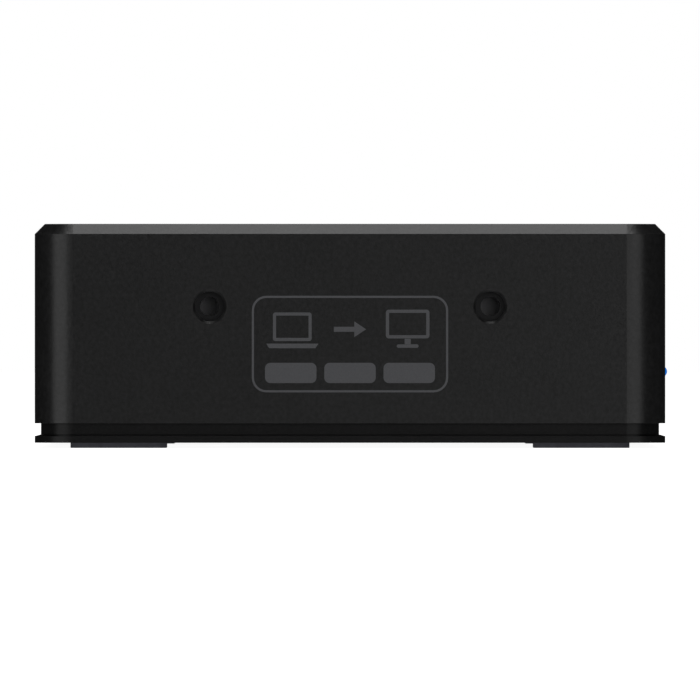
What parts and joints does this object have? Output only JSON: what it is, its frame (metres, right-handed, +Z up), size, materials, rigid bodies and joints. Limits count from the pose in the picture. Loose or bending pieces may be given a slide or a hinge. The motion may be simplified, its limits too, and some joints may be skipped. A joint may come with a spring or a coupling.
{
  "type": "laptop docking station",
  "caption": "Long black desktop dock that links a laptop to displays, network, audio and USB devices; push button and light on the front, sockets on both long sides",
  "frame": {"origin": "on the surface under the feet, below the middle of the dock", "axes": "+X along the length, with the pictured end at -X; -Y is the front, with the button, light and audio sockets; +Z is up"},
  "size_m": [0.206, 0.0813, 0.0288],
  "materials": {
    "housing": "fine-grained moulded black plastic",
    "base": "smooth satin black plastic",
    "port_panel": "fine-grained black plastic",
    "feet_rubber": "dark grey rubber",
    "screw_steel": "black zinc plated",
    "insert_steel": "black oxide",
    "slot_steel": "plain steel sheet",
    "button_plastic": "satin black plastic",
    "light_blue": "clear blue light pipe",
    "switch_plastic": "black thermoplastic",
    "board_laminate": "green solder mask",
    "chip_plastic": "moulded epoxy",
    "heatsink_metal": "extruded, plain",
    "pad_grey": "soft silicone",
    "socket_steel": "nickel plated sheet",
    "usb_blue": "blue moulded tongue",
    "socket_plastic": "black insulator",
    "contact_gold": "gold flashed springs",
    "network_lamps": "translucent light guide",
    "capacitor_can": "plain can",
    "ferrite": "grey ferrite",
    "crystal_can": "plain can"
  },
  "bodies": {
    "dock": {"audio_jack_contacts": "contact_gold", "base_plate": "base", "base_screws": "screw_steel", "board_capacitors": "capacitor_can", "board_screws": "screw_steel", "crystals": "crystal_can", "dc_jack_housing": "socket_plastic", "dc_jack_pin": "contact_gold", "dc_jack_spring": "contact_gold", "foot_front_left": "feet_rubber", "foot_front_right": "feet_rubber", "foot_rear_left": "feet_rubber", "foot_rear_right": "feet_rubber", "front_panel": "port_panel", "front_usb_1_contacts": "contact_gold", "front_usb_1_insulator": "usb_blue", "front_usb_1_shell": "socket_steel", "front_usb_2_contacts": "contact_gold", "front_usb_2_insulator": "usb_blue", "front_usb_2_shell": "socket_steel", "headphone_jack": "switch_plastic", "heatsink": "heatsink_metal", "heatsink_pins": "switch_plastic", "hub_controller": "chip_plastic", "led_chip": "light_blue", "led_light_pipe": "light_blue", "left_mount_inserts": "insert_steel", "lock_slot_plate": "slot_steel", "main_board": "board_laminate", "microphone_jack": "switch_plastic", "network_controller": "chip_plastic", "network_jack_contacts": "contact_gold", "network_jack_housing": "socket_plastic", "network_jack_lights": "network_lamps", "network_jack_shield": "socket_steel", "network_transformer": "ferrite", "power_inductors": "ferrite", "rear_panel": "port_panel", "switch_body": "switch_plastic", "thermal_pad": "pad_grey", "top_cover": "housing", "upstream_port_contacts": "contact_gold", "upstream_port_insulator": "socket_plastic", "upstream_port_shell": "socket_steel", "usb_stack_1_contacts": "contact_gold", "usb_stack_1_insulator": "usb_blue", "usb_stack_1_shell": "socket_steel", "usb_stack_2_contacts": "contact_gold", "usb_stack_2_insulator": "usb_blue", "usb_stack_2_shell": "socket_steel", "video_out_1_contacts": "contact_gold", "video_out_1_insulator": "socket_plastic", "video_out_1_shell": "socket_steel", "video_out_2_contacts": "contact_gold", "video_out_2_insulator": "socket_plastic", "video_out_2_shell": "socket_steel", "video_processor": "chip_plastic"},
    "button": {"power_button": "button_plastic", "switch_stem": "switch_plastic"}
  },
  "joints": [
    {"name": "power_button_press", "type": "slide", "parent": "dock", "child": "button", "axis": [0, 1, 0], "range_m": [0, 0.0006], "stiffness_N_per_m": 1500, "springref_m": -0.0004}
  ]
}
